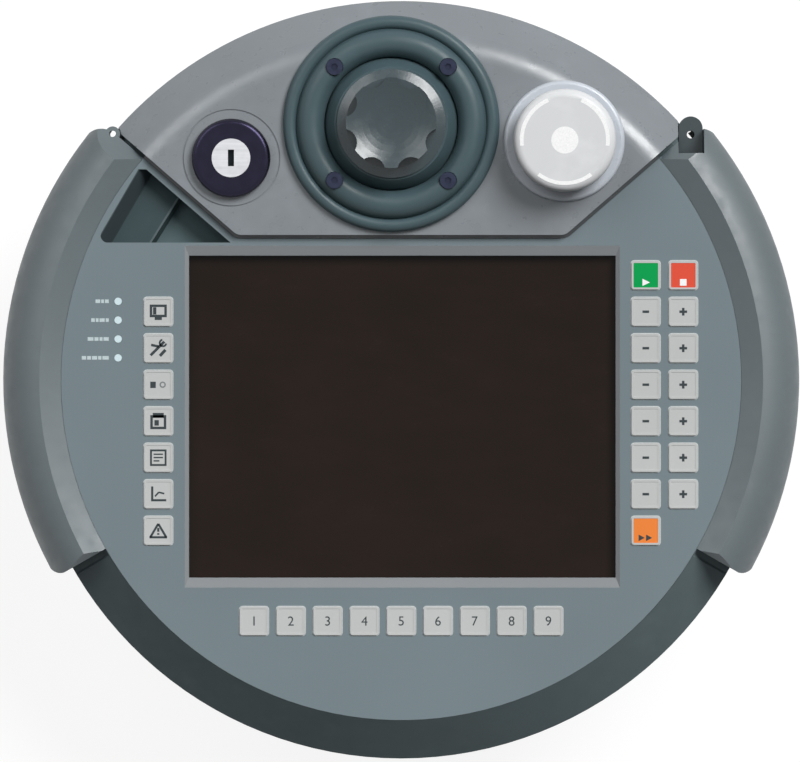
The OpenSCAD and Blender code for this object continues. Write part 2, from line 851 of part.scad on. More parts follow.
function key_tone(name) =
    name == "key_green" ? [0, 0.64, 0.32] :
    name == "key_red" ? [0.89, 0.35, 0.27] :
    name == "key_orange" ? [0.95, 0.55, 0.27] : [0.7, 0.71, 0.71];

module status_lights() {
    color([0.8, 0.89, 0.91]) for (y = light_ys) translate([light_x, y, board_z])
        cylinder(r = light_r, h = panel_z - board_z + 0.15, $fn = 32);
}

// ---------------------------------------------------------------- display and boards

function glass_w() = screen_w + 10;
function glass_h() = screen_h + 4;

module touch_screen() {
    color([0.16, 0.13, 0.12])
        translate([screen_x - glass_w() / 2, screen_y - glass_h() / 2, board_z - glass_t])
        cube([glass_w(), glass_h(), glass_t]);
}

module display_module() {
    color([0.6, 0.6, 0.62])
        translate([screen_x - glass_w() / 2, screen_y - glass_h() / 2, board_z - glass_t - module_t])
        cube([glass_w(), glass_h(), module_t]);
}

module main_board() {
    color([0.1, 0.4, 0.2]) translate([0, main_board_y, main_board_z]) {
        linear_extrude(main_board_t) difference() {
            square(main_board_size, center = true);
            translate([0, -main_board_y]) for (p = screw_places) translate(p) circle(post_r + 1, $fn = 48);
        }
        for (c = board_parts) translate([c[0][0], c[0][1], 0])
            cube([c[1][0], c[1][1], main_board_t + c[1][2]]);
    }
}

// ---------------------------------------------------------------- handle

// A block centred on the enabling buttons' height, from x outwards
module pocket(x, w, h, deep) {
    translate([x, -w / 2, enable_z - h / 2]) cube([deep, w, h]);
}

module handle() {
    color([0.3, 0.33, 0.35]) difference() {
        union() {
            rotate_extrude() translate([handle_r, handle_h / 2])
                rounded_rect(handle_w, handle_h, handle_round);
            for (a = [90, 270]) rotate([0, 0, a - foot_angle]) rotate_extrude(angle = 2 * foot_angle)
                translate([handle_in_r + 2, handle_h - handle_round - 1])
                    square([handle_w - 4, back_z - handle_h + handle_round + 1]);
        }
        for (a = handle_screw_angles) rotate([0, 0, a]) translate([handle_r, 0, back_z - screw_len + 1])
            cylinder(r = screw_r + seat, h = screw_len + 1, $fn = 48);
        for (side = [0, 1]) mirror([side, 0, 0]) {
            pocket(enable_room_x, enable_w + 2 * gap, enable_h + 2 * gap, big);
            pocket(enable_room_x - switch_block[0], switch_block[1] + 2 * seat,
                   switch_block[2] + 2 * seat, switch_block[0] + 1);
        }
    }
}

// A button with upright grooves for the fingers
module enable_button() {
    outer = handle_out_r + enable_out;
    color([0.12, 0.13, 0.14]) translate([0, 0, enable_z - enable_h / 2])
        linear_extrude(enable_h) difference() {
            intersection() {
                circle(outer);
                translate([enable_back, -enable_w / 2]) square([big, enable_w]);
            }
            for (i = [-enable_ribs:enable_ribs]) rotate([0, 0, i * enable_rib_step])
                translate([outer + enable_rib_r - enable_rib_deep, 0]) circle(enable_rib_r, $fn = 32);
        }
}

module enable_button_right() enable_button();

module enable_button_left() mirror([1, 0, 0]) enable_button();

module enable_switches() {
    color([0.15, 0.15, 0.16]) for (side = [0, 1]) mirror([side, 0, 0])
        pocket(enable_room_x - switch_block[0] + seat, switch_block[1], switch_block[2],
               switch_block[0] - seat - gap);
}

module cable_gland() {
    cap_h = gland_len - gland_nut_h;
    color([0.13, 0.14, 0.15]) translate([0, gland_y, gland_z]) rotate([90, 0, 0]) difference() {
        union() {
            translate([0, 0, -gland_thread_len]) cylinder(r = gland_thread_r, h = gland_thread_len + 2);
            cylinder(r = gland_nut_r, h = gland_nut_h, $fn = 6);
            translate([0, 0, gland_nut_h - 0.01]) rotate_extrude() difference() {
                square([gland_cap_r, cap_h]);
                corner_waste([gland_cap_r, cap_h], 180, 270, gland_cap_round);
            }
        }
        translate([0, 0, -gland_thread_len - 1])
            cylinder(r = cable_r, h = gland_len + gland_thread_len + 2);
    }
}

// ---------------------------------------------------------------- stylus

module stylus() {
    color([0.26, 0.3, 0.31]) translate([stylus_x, stylus_head_y, stylus_z]) {
        rotate([90, 0, 0]) {
            translate([0, 0, -2]) cylinder(r = stylus_r, h = stylus_len - stylus_tip_len + 2);
            translate([0, 0, stylus_len - stylus_tip_len - 0.01])
                cylinder(r1 = stylus_r, r2 = 0.8, h = stylus_tip_len);
        }
        translate([0, 0, -stylus_head_h / 2]) difference() {
            linear_extrude(stylus_head_h) {
                translate([-stylus_head_w / 2, 0])
                    square([stylus_head_w, stylus_head_len - stylus_head_w / 2]);
                translate([0, stylus_head_len - stylus_head_w / 2]) circle(stylus_head_w / 2);
            }
            translate([0, stylus_hole_y - stylus_head_y, -1])
                cylinder(r = stylus_hole_r, h = stylus_head_h + 2, $fn = 48);
        }
    }
}

// ---------------------------------------------------------------- key switch and stop button

module key_switch_body() {
    color([0.14, 0.16, 0.2]) translate([lock_pos[0], lock_pos[1], 0]) difference() {
        union() {
            translate([0, 0, cover_z - lock_depth]) cylinder(r = lock_body_r, h = lock_depth + 1);
            translate([0, 0, cover_z]) rotate_extrude() difference() {
                square([lock_r, lock_rise]);
                corner_waste([lock_r, lock_rise], 180, 270, 2);
            }
        }
        translate([0, 0, cover_z - lock_depth + lock_floor]) cylinder(r = barrel_r + fit, h = big);
    }
}

module key_switch_barrel() {
    slot = [2.2, 6, 3];
    low_z = cover_z - lock_depth + lock_floor + gap;
    top_z = cover_z + lock_rise + barrel_rise;
    color([0.92, 0.92, 0.93]) translate([lock_pos[0], lock_pos[1], 0]) difference() {
        translate([0, 0, low_z]) cylinder(r = barrel_r, h = top_z - low_z);
        translate([-slot[0] / 2, -slot[1] / 2, top_z - slot[2]]) cube([slot[0], slot[1], slot[2] + 1]);
    }
}

module stop_housing() {
    color([0.5, 0.53, 0.55]) translate([stop_pos[0], stop_pos[1], 0]) difference() {
        union() {
            translate([0, 0, cover_z - stop_depth]) cylinder(r = stop_body_r, h = stop_depth + 1);
            translate([0, 0, cover_z]) rotate_extrude() difference() {
                square([collar_r, collar_h]);
                corner_waste([collar_r, collar_h], 180, 270, 1.5);
            }
        }
        translate([0, 0, cover_z - stop_depth + 5]) cylinder(r = stop_stem_r + fit, h = big);
    }
}

module stop_stem() {
    bottom = cover_z - stop_depth + 5 + stop_travel + 1;
    color([0.2, 0.2, 0.21]) translate([stop_pos[0], stop_pos[1], 0]) {
        translate([0, 0, bottom]) cylinder(r = stop_stem_r, h = head_z - gap - bottom);
        translate([0, 0, head_z - gap - 1]) cylinder(r = 6, h = 6 + gap);
    }
}

module stop_button() {
    color([0.84, 0.84, 0.85]) translate([stop_pos[0], stop_pos[1], head_z]) difference() {
        rotate_extrude() difference() {
            square([head_r, head_h]);
            corner_waste([head_r, head_h], 180, 270, 3);
            corner_waste([head_r, 0], 90, 180, 1);
        }
        translate([0, 0, -1]) cylinder(r = 6 + fit, h = 6.3);
    }
}

// ---------------------------------------------------------------- joystick

module joystick_screw_holes(r) {
    for (a = [45:90:315]) rotate([0, 0, a]) translate([joy_screw_ring, 0, 0])
        cylinder(r = r, h = big, $fn = 32);
}

module joystick_base() {
    floor_z = joy_pivot_z - joy_floor_drop;
    ear = [6, 10];
    ear_x = gimbal_r + 1;
    color([0.2, 0.22, 0.24]) translate([joy_pos[0], joy_pos[1], 0]) {
        difference() {
            union() {
                translate([0, 0, joy_base_top - joy_flange_h]) cylinder(r = joy_base_r, h = joy_flange_h);
                translate([0, 0, joy_pivot_z - joy_base_drop])
                    cylinder(r = joy_cup_r, h = joy_base_top - joy_pivot_z + joy_base_drop - 1);
            }
            translate([0, 0, floor_z]) cylinder(r = joy_hole_r, h = big);
            translate([0, 0, joy_base_top - 8]) joystick_screw_holes(joy_screw_r + seat);
        }
        difference() {
            for (side = [0, 1]) mirror([side, 0, 0]) translate([ear_x, -ear[1] / 2, floor_z - 1])
                cube([ear[0], ear[1], joy_pivot_z + 4 - floor_z + 1]);
            translate([0, 0, joy_pivot_z]) rotate([0, 90, 0])
                cylinder(r = pin_r + fit, h = big, center = true);
        }
    }
}

module joystick_gimbal() {
    color([0.6, 0.6, 0.62]) translate([joy_pos[0], joy_pos[1], joy_pivot_z]) difference() {
        union() {
            cylinder(r = gimbal_r, h = gimbal_h, center = true);
            for (side = [0, 1]) mirror([side, 0, 0]) translate([gimbal_r - 1, 0, 0]) rotate([0, 90, 0])
                cylinder(r = pin_r, h = 7);
        }
        cylinder(r = gimbal_hub_r, h = big, center = true);
        rotate([90, 0, 0]) cylinder(r = pin_r + fit, h = 2 * gimbal_r + 2, center = true);
    }
}

module joystick_stick() {
    color([0.25, 0.32, 0.34]) translate([joy_pos[0], joy_pos[1], joy_pivot_z]) {
        rotate([90, 0, 0]) cylinder(r = pin_r, h = 2 * gimbal_r - 0.6, center = true);
        translate([0, 0, -spigot_foot])
            cylinder(r = spigot_r, h = knob_z - joy_pivot_z + spigot_h + spigot_foot);
        rotate_extrude() {
            intersection() {
                difference() {
                    circle(joy_dome_r);
                    circle(joy_dome_r - dome_t);
                }
                translate([0, 1.8]) square([joy_dome_r, dome_cut_z - joy_pivot_z - 1.8]);
            }
            translate([0, dome_cut_z - joy_pivot_z - dome_t]) square([joy_dome_r * 0.77, dome_t]);
        }
    }
}

module joystick_knob() {
    dish_r = (knob_r * knob_r + knob_dish * knob_dish) / (2 * knob_dish);
    color([0.29, 0.36, 0.38]) translate([joy_pos[0], joy_pos[1], knob_z]) difference() {
        union() {
            cylinder(r = knob_skirt_r, h = knob_skirt_h);
            translate([0, 0, knob_skirt_h])
                cylinder(r1 = knob_skirt_r, r2 = knob_r,
                         h = (knob_skirt_r - knob_r) * tan(knob_skirt_slope));
            difference() {
                cylinder(r = knob_r, h = knob_h);
                for (i = [0:lobes - 1]) rotate([0, 0, (i + 0.5) * 360 / lobes])
                    translate([knob_r - knob_notch + knob_notch_r, 0, -1])
                    cylinder(r = knob_notch_r, h = big, $fn = 48);
                translate([0, 0, knob_h - knob_dish + dish_r]) sphere(dish_r, $fn = 128);
            }
        }
        translate([0, 0, -1]) cylinder(r = spigot_r + fit, h = spigot_h + gap + 1);
    }
}

module joystick_ring() {
    color([0.3, 0.37, 0.39]) translate([joy_pos[0], joy_pos[1], cover_z]) difference() {
        rotate_extrude() difference() {
            union() {
                square([joy_ring_r, joy_ring_t]);
                intersection() {
                    union() {
                        translate([joy_ring_r - joy_lip, joy_ring_t - joy_bead_sunk])
                            circle(joy_lip, $fn = 48);
                        translate([joy_bead_r, joy_ring_t - joy_bead_sunk]) circle(joy_bead, $fn = 64);
                    }
                    square([joy_ring_r, big]);
                }
            }
            translate([0, joy_pivot]) circle(joy_dome_r + joy_dome_gap);
        }
        translate([0, 0, -1]) joystick_screw_holes(joy_screw_r + 0.2);
        translate([0, 0, joy_head_rise]) joystick_screw_holes(joy_head_r + 0.2);
    }
}

module joystick_screws() {
    head_z = cover_z + joy_head_rise;
    color([0.22, 0.25, 0.33]) translate([joy_pos[0], joy_pos[1], 0])
        for (a = [45:90:315]) rotate([0, 0, a]) translate([joy_screw_ring, 0, 0]) difference() {
            union() {
                translate([0, 0, head_z]) cylinder(r = joy_head_r, h = 2.2, $fn = 48);
                translate([0, 0, joy_base_top - joy_flange_h])
                    cylinder(r = joy_screw_r, h = head_z - joy_base_top + joy_flange_h + 0.5, $fn = 32);
            }
            translate([0, 0, head_z + 1]) cylinder(r = 1.3, h = big, $fn = 6);
        }
}

rear_shell();
front_shell();
housing_seal();
housing_screws();
side_grips();
control_cover();
keypad_panel();
keypad_board();
touch_screen();
display_module();
main_board();
status_lights();
handle();
enable_button_left();
enable_button_right();
enable_switches();
cable_gland();
stylus();
key_switch_body();
key_switch_barrel();
stop_housing();
stop_stem();
stop_button();
joystick_base();
joystick_gimbal();
joystick_stick();
joystick_knob();
joystick_ring();
joystick_screws();
for (k = keys) key(k[1], key_tone(k[0]));
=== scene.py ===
"""Looks of a round handheld teach pendant: materials, key signs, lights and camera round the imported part.

Metres, in the part's own frame: +Z out of the display, +Y to the top of the display, +X to its right.
Signs are drawn in millimetres in the plane of the display and scaled by MM.
"""

import json
import math

import bmesh
import bpy
from mathutils import Matrix, Vector


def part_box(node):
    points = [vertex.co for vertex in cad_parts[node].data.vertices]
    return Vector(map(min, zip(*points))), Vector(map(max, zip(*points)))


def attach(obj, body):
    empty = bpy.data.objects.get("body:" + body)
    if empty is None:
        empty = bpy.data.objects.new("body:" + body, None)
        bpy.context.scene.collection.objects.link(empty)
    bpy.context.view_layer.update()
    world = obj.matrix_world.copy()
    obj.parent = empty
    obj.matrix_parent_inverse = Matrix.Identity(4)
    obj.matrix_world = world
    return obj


MM = 0.001
PLATE = 0.03  # thickness of a printed sign, in millimetres
CAP_SHARE = 0.7  # height of a font's capitals as a share of its size

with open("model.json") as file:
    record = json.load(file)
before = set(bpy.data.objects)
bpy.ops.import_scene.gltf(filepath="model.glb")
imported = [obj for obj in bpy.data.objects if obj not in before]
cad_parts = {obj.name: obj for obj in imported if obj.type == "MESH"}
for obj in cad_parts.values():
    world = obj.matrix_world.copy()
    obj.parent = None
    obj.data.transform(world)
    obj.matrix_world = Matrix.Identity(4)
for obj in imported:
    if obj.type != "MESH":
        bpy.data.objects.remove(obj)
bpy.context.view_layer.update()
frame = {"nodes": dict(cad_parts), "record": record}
nodes = frame["nodes"]
slot_of = {part["node"]: part["material_slot"] for part in frame["record"]["subparts"]}
panel_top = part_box("keypad_panel")[1].z


# ---------------------------------------------------------------- colours and node helpers


def colour(red, green, blue):
    """A display colour, 0 to 255 each, as the linear colour that a shader takes."""

    def linear(v):
        v = v / 255
        return v / 12.92 if v <= 0.04045 else ((v + 0.055) / 1.055) ** 2.4

    return (linear(red), linear(green), linear(blue), 1.0)


def shade(c, factor):
    """The colour c made darker or paler."""
    return (min(c[0] * factor, 1), min(c[1] * factor, 1), min(c[2] * factor, 1), 1.0)


class Graph:
    """A material with its Principled shader, and short calls that add nodes to it."""

    def __init__(self, name):
        self.material = bpy.data.materials.new(name)
        self.material.use_nodes = True
        self.tree = self.material.node_tree
        self.shader = self.tree.nodes["Principled BSDF"]
        self.coords = self.add("ShaderNodeTexCoord").outputs["Object"]

    def add(self, kind, **values):
        """A new node of that kind with its properties set."""
        node = self.tree.nodes.new(kind)
        for key, value in values.items():
            setattr(node, key, value)
        return node

    def feed(self, socket, value):
        """Gives a node's input a fixed value or the output of another node."""
        if isinstance(value, bpy.types.NodeSocket):
            self.tree.links.new(value, socket)
        else:
            socket.default_value = value

    def stretched(self, x, y, z):
        """The object's coordinates, scaled along each axis."""
        mapping = self.add("ShaderNodeMapping")
        mapping.inputs["Scale"].default_value = (x, y, z)
        self.feed(mapping.inputs["Vector"], self.coords)
        return mapping.outputs["Vector"]

    def noise(self, size, detail=2.0, rough=0.5, coords=None):
        """Noise whose lumps are about size millimetres across."""
        node = self.add("ShaderNodeTexNoise")
        node.inputs["Scale"].default_value = 1 / (size * MM)
        node.inputs["Detail"].default_value = detail
        node.inputs["Roughness"].default_value = rough
        self.feed(node.inputs["Vector"], coords or self.coords)
        return node.outputs["Fac"]

    def cells(self, size, feature="F1"):
        """Distance in cells about size millimetres across, from their middles or to their edges."""
        node = self.add("ShaderNodeTexVoronoi", feature=feature)
        node.inputs["Scale"].default_value = 1 / (size * MM)
        self.feed(node.inputs["Vector"], self.coords)
        return node.outputs["Distance"]

    def ramp(self, source, *stops):
        """A colour that follows the source between two stops, each a place and the colour there."""
        node = self.add("ShaderNodeValToRGB")
        for element, (place, value) in zip(node.color_ramp.elements, stops):
            element.position = place
            element.color = value
        self.feed(node.inputs["Fac"], source)
        return node.outputs["Color"]

    def spread(self, source, low, high, start=0.3, end=0.7):
        """Maps start..end of the source to low..high."""
        node = self.add("ShaderNodeMapRange")
        for key, value in (
            ("Value", source), ("From Min", start), ("From Max", end), ("To Min", low), ("To Max", high),
        ):
            self.feed(node.inputs[key], value)
        return node.outputs["Result"]

    def mix(self, factor, a, b):
        """The colour a where the factor is 0, and b where it is 1."""
        node = self.add("ShaderNodeMix", data_type="RGBA")
        for key, kind, value in (("Factor", "VALUE", factor), ("A", "RGBA", a), ("B", "RGBA", b)):
            self.feed(next(s for s in node.inputs if s.name == key and s.type == kind), value)
        return next(s for s in node.outputs if s.type == "RGBA")

    def reckon(self, operation, a, b):
        """The result of a sum, product or test on two values."""
        node = self.add("ShaderNodeMath", operation=operation)
        self.feed(node.inputs[0], a)
        self.feed(node.inputs[1], b)
        return node.outputs["Value"]

    def inside(self, **bounds):
        """1 where every bound holds, such as x_below=0.1 or z_above=0.05, in metres, and 0 elsewhere."""
        split = self.add("ShaderNodeSeparateXYZ")
        self.feed(split.inputs["Vector"], self.coords)
        total = 1.0
        for bound, value in bounds.items():
            axis, side = bound.split("_")
            operation = "LESS_THAN" if side == "below" else "GREATER_THAN"
            test = self.reckon(operation, split.outputs[axis.upper()], value)
            total = self.reckon("MULTIPLY", test, total)
        return total

    def bump(self, height, depth):
        """Surface relief of depth millimetres."""
        node = self.add("ShaderNodeBump")
        node.inputs["Distance"].default_value = depth * MM
        node.inputs["Strength"].default_value = 1.0
        self.feed(node.inputs["Height"], height)
        self.set(Normal=node.outputs["Normal"])

    def set(self, **values):
        """Feeds the shader's inputs, whose names have _ for each space."""
        for key, value in values.items():
            self.feed(self.shader.inputs[key.replace("_", " ")], value)


# ---------------------------------------------------------------- materials


def zoned(g, base, factor, zones):
    """The colour base times factor; each zone gives another colour and the bounds it holds in."""
    tone = shade(base, factor)
    for other, bounds in zones:
        tone = g.mix(g.inside(**bounds), tone, shade(other, factor))
    return tone


def moulded(
    name, base, rough=0.55, grain=1.2, depth=0.012, specular=0.3, patch=0.05, zones=(), tint=(1, 1, 1, 1),
):
    """Moulded plastic: fine grain, a slow drift of tone and a few paler rubbed spots."""
    g = Graph(name)
    dark, pale, worn = (zoned(g, base, factor, zones) for factor in (1 - patch, 1 + patch, 1.28))
    tone = g.mix(g.spread(g.noise(38, detail=4), 0, 1), dark, pale)
    rubbed = g.reckon("MULTIPLY", g.spread(g.noise(14, detail=3, rough=0.6), 0, 1, 0.56, 0.72), 0.3)
    g.set(
        Base_Color=g.mix(rubbed, tone, worn),
        Roughness=g.spread(g.noise(5, detail=4), rough - 0.06, rough + 0.08),
        Specular_IOR_Level=specular,
        Specular_Tint=tint)
    g.bump(g.reckon("ADD", g.cells(grain), g.noise(grain * 0.6, detail=2)), depth)
    return g.material


def film(name, base, rough=0.5, specular=0.25, zones=()):
    """Printed membrane film: very fine grain, faint hand marks and a little dust in the tone."""
    g = Graph(name)
    dark, pale, dusty = (zoned(g, base, factor, zones) for factor in (0.965, 1.035, 1.25))
    tone = g.mix(g.spread(g.noise(60, detail=3), 0, 1), dark, pale)
    dust = g.reckon("MULTIPLY", g.spread(g.noise(1.1, detail=2), 0, 1, 0.66, 0.76), 0.18)
    g.set(
        Base_Color=g.mix(dust, tone, dusty),
        Roughness=g.spread(g.noise(24, detail=5, rough=0.6), rough - 0.07, rough + 0.09),
        Specular_IOR_Level=specular)
    g.bump(g.noise(0.35, detail=2), 0.004)
    return g.material


def rubber(name, base, rough=0.8):
    """Rubber with a pebbled skin, paler where it is dusty."""
    g = Graph(name)
    dust = g.noise(7, detail=5, rough=0.65)
    g.set(
        Base_Color=g.ramp(dust, (0.35, shade(base, 0.85)), (0.75, shade(base, 1.35))),
        Roughness=g.spread(g.noise(3), rough - 0.1, rough + 0.1),
        Specular_IOR_Level=0.25)
    g.bump(g.cells(0.9), 0.03)
    return g.material


def metal(name, base, rough=0.35, painted_shade=None, **where):
    """Metal, brushed one way, with small dull spots; painted_shade is a dark colour painted as shade inside
    the bounds where.
    """
    g = Graph(name)
    lines = g.noise(1000, detail=3, coords=g.stretched(40, 1200, 1200))
    tone = g.ramp(lines, (0.3, shade(base, 0.88)), (0.7, shade(base, 1.04)))
    g.set(
        Base_Color=g.mix(g.inside(**where), tone, painted_shade) if painted_shade else tone,
        Roughness=g.spread(g.noise(2.5, detail=5), rough - 0.08, rough + 0.12),
        Metallic=1.0)
    g.bump(lines, 0.004)
    return g.material


def glass(name, base):
    """Dark touch glass: smooth, with faint smears that only show in its gloss."""
    g = Graph(name)
    smear = g.noise(26, detail=6, rough=0.7, coords=g.stretched(1, 2.2, 1))
    g.set(
        Base_Color=g.ramp(g.noise(45), (0.3, shade(base, 0.92)), (0.7, shade(base, 1.1))),
        Roughness=g.spread(smear, 0.12, 0.3, 0.35, 0.7),
        Specular_IOR_Level=0.12)
    g.bump(g.noise(8, detail=1), 0.002)
    return g.material


def board(name, base):
    """Solder resist with faint tracks under it."""
    g = Graph(name)
    tracks = g.cells(3.2, feature="DISTANCE_TO_EDGE")
    g.set(
        Base_Color=g.ramp(tracks, (0.0, shade(base, 1.7)), (0.12, base)),
        Roughness=g.spread(g.noise(4), 0.35, 0.5))
    g.bump(tracks, 0.02)
    return g.material


def window(name, base):
    """A small light window: pale, with a soft glow from behind."""
    g = Graph(name)
    g.set(
        Base_Color=g.ramp(g.noise(0.8), (0.3, shade(base, 0.94)), (0.7, shade(base, 1.04))),
        Roughness=g.spread(g.noise(1.5), 0.2, 0.35),
        Emission_Color=base,
        Emission_Strength=0.12,
        Specular_IOR_Level=0.4)
    g.bump(g.noise(0.5), 0.004)
    return g.material


def ink(name, base, rough=0.55):
    """Screen-printed ink, slightly uneven at its own scale; the tray's flat painted shade and painted
    highlight use it too.
    """
    g = Graph(name)
    g.set(
        Base_Color=g.ramp(g.noise(0.5, detail=3), (0.3, shade(base, 0.9)), (0.7, shade(base, 1.1))),
        Roughness=g.spread(g.noise(0.7), rough - 0.08, rough + 0.08),
        Specular_IOR_Level=0.25)
    g.bump(g.noise(0.25), 0.002)
    return g.material


# The tray beside the control cover, in millimetres: its left wall and the step of its shelf, each from foot to
# head, and the depths of the shelf and the floor
TRAY_WALL = ((-111, 49.9), (-95.5, 76.5))
TRAY_STEP = ((-90.9, 49.9), (-80.7, 66.3))
TRAY_SHELF, TRAY_FLOOR = 7, 11

# Zones with another colour: the tray with the groove beside it, where the wall is painted darker as shade, the
# shelf has the tray's own dark tone and the deep floor is painted paler against the shadow that falls on it;
# the display's bezel, in its own paler tone; the foot of the groove round the cover, painted dark as shade;
# the stop button's collar, which alone of its plastic stands above the cover, painted paler against the stop
# head's shadow; and the slot of the key switch, painted dark as shade
TRAY = {"x_above": -0.113, "x_below": -0.05, "y_above": 0.047, "y_below": 0.079, "z_above": 0.083}
FLOOR_ZONE = 0.3  # a floor's colour starts this far above it, in millimetres
TRAY_ZONES = [
    (tone, {**TRAY, "z_below": panel_top - depth * MM})
    for tone, depth in (
        # the wall: painted shade
        (colour(58, 67, 71), 0.5),
        # the shelf: the tray's own dark tone
        (colour(60, 74, 77), TRAY_SHELF - FLOOR_ZONE),
        # the deep floor: the same dark plastic, painted paler against the shadow that falls on it
        (colour(84, 101, 104), TRAY_FLOOR - FLOOR_ZONE),
    )
]
screen_low, screen_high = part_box("touch_screen")
BEZEL_X, BEZEL_Y = 3.5 * MM, 1.6 * MM  # how far the glass reaches past the bezel, and the bezel past the glass
BEZEL = {
    "x_above": screen_low.x + BEZEL_X, "x_below": screen_high.x - BEZEL_X,
    "y_above": screen_low.y - BEZEL_Y, "y_below": screen_high.y + BEZEL_Y,
}
# the foot of the groove round the cover, painted dark as shade
GROOVE_PAINTED_SHADE = {"x_above": -0.1, "x_below": 0.1, "y_below": 0.085, "z_below": panel_top - 1.2 * MM}
# the stop button's collar, painted paler against the stop head's shadow
COLLAR_PAINTED_LIGHT = {"z_above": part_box("control_cover")[1].z + 0.3 * MM}
# the lock metal below the barrel's face, in its slot, is painted dark as shade
SLOT_PAINTED_SHADE = {"z_below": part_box("key_switch_barrel")[1].z - 0.3 * MM}

FINISH = {
    # The shell carries the tray's zones: painted shade on the wall and a painted paler deep floor
    "shell_plastic": moulded(
        "shell_plastic", colour(90, 103, 106), rough=0.55, depth=0.014, specular=0.12, zones=TRAY_ZONES),
    "grip_plastic": moulded("grip_plastic", colour(75, 86, 90), rough=0.5, depth=0.004, specular=0.95),
    # The collar is painted paler against the stop head's shadow, and the foot of the groove round the cover is
    # painted dark as shade
    "cover_plastic": moulded(
        "cover_plastic", colour(118, 124, 129), rough=0.31, depth=0.003, specular=0.72,
        zones=[(colour(186, 192, 200), COLLAR_PAINTED_LIGHT), (colour(50, 56, 60), GROOVE_PAINTED_SHADE)]),
    "panel_film": film(
        "panel_film", colour(114, 127, 132), specular=0.2, zones=[(colour(132, 136, 139), BEZEL)]),
    "seal_rubber": rubber("seal_rubber", colour(40, 41, 44)),
    "screw_steel": metal("screw_steel", colour(160, 162, 166)),
    "screw_dark": metal("screw_dark", colour(48, 52, 68), rough=0.38),
    "circuit_board": board("circuit_board", colour(28, 96, 54)),
    "screen_glass": glass("screen_glass", colour(31, 22, 17)),
    "module_metal": metal("module_metal", colour(165, 166, 170), rough=0.45),
    "light_window": window("light_window", colour(198, 217, 222)),
    "handle_plastic": moulded(
        "handle_plastic", colour(78, 86, 90), rough=0.6, grain=0.9, depth=0.02, specular=0.2),
    "enable_rubber": rubber("enable_rubber", colour(46, 49, 53)),
    "switch_plastic": moulded("switch_plastic", colour(42, 43, 46), rough=0.5),
    "gland_plastic": moulded("gland_plastic", colour(44, 46, 50), rough=0.5),
    "stylus_plastic": moulded("stylus_plastic", colour(52, 62, 65), rough=0.35, depth=0.005, specular=0.45),
    "lock_bezel": moulded(
        "lock_bezel", colour(6, 9, 10), rough=0.26, depth=0.004, specular=0.5, tint=colour(190, 180, 240)),
    # The key switch's slot is painted dark as shade
    "lock_metal": metal(
        "lock_metal", colour(180, 181, 184), rough=0.5, painted_shade=colour(40, 46, 50), **SLOT_PAINTED_SHADE),
    "stop_plastic": moulded(
        "stop_plastic", colour(212, 214, 216), rough=0.35, depth=0.004, specular=0.4, patch=0.02),
    "joystick_plastic": moulded(
        "joystick_plastic", colour(68, 86, 91), rough=0.38, depth=0.005, specular=0.24),
    "knob_plastic": moulded("knob_plastic", colour(46, 61, 66), rough=0.25, depth=0.004, specular=0.55),
    "key_grey": film("key_grey", colour(190, 192, 191)),
    "key_green": film("key_green", colour(0, 156, 78), specular=0.12),
    "key_red": film("key_red", colour(224, 84, 62), specular=0.12),
    "key_orange": film("key_orange", colour(238, 134, 62), specular=0.12),
}

for name, node in nodes.items():
    node.data.materials.clear()
    node.data.materials.append(FINISH[slot_of[name]])


# ---------------------------------------------------------------- flat shapes


def box(x0, y0, x1, y1):
    """A rectangle from its lower left to its upper right corner."""
    return [(x0, y0), (x1, y0), (x1, y1), (x0, y1)]


def stroke(a, b, width):
    """A straight line of that width from a to b."""
    dx, dy = b[0] - a[0], b[1] - a[1]
    k = width / 2 / math.hypot(dx, dy)
    nx, ny = -dy * k, dx * k
    return [(a[0] - nx, a[1] - ny), (b[0] - nx, b[1] - ny), (b[0] + nx, b[1] + ny), (a[0] + nx, a[1] + ny)]


def border(x0, y0, x1, y1, width):
    """A rectangular frame as four bars."""
    return [
        box(x0, y0, x1, y0 + width),
        box(x0, y1 - width, x1, y1),
        box(x0, y0 + width, x0 + width, y1 - width),
        box(x1 - width, y0 + width, x1, y1 - width),
    ]


def disc(r, count=40):
    """A disc round the origin."""
    turn = 2 * math.pi / count
    return [(r * math.cos(i * turn), r * math.sin(i * turn)) for i in range(count)]


def arc(x, y, r, width, middle, span, count=18):
    """A curved bar round (x, y), as quads."""
    quads = []
    for i in range(count):
        a, b = (math.radians(middle - span / 2 + span * k / count) for k in (i, i + 1))
        inner, outer = r - width / 2, r + width / 2
        quads.append([
            (x + inner * math.cos(a), y + inner * math.sin(a)),
            (x + outer * math.cos(a), y + outer * math.sin(a)),
            (x + outer * math.cos(b), y + outer * math.sin(b)),
            (x + inner * math.cos(b), y + inner * math.sin(b)),
        ])
    return quads


def rounded(side, r, steps=5):
    """A square round the origin with corners of radius r."""
    points = []
    for sx, sy, start in ((1, 1, 0), (-1, 1, 90), (-1, -1, 180), (1, -1, 270)):
        for i in range(steps + 1):
            a = math.radians(start + 90 * i / steps)
            points.append((sx * (side / 2 - r) + r * math.cos(a), sy * (side / 2 - r) + r * math.sin(a)))
    return points


# ---------------------------------------------------------------- pieces


def dress(name, data, finish, body):
    """Makes a mesh a piece with that finish, and lets it ride on a body."""
    data.materials.clear()
    data.materials.append(finish)
    piece = bpy.data.objects.new(name, data)
    bpy.context.scene.collection.objects.link(piece)
    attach(piece, body)


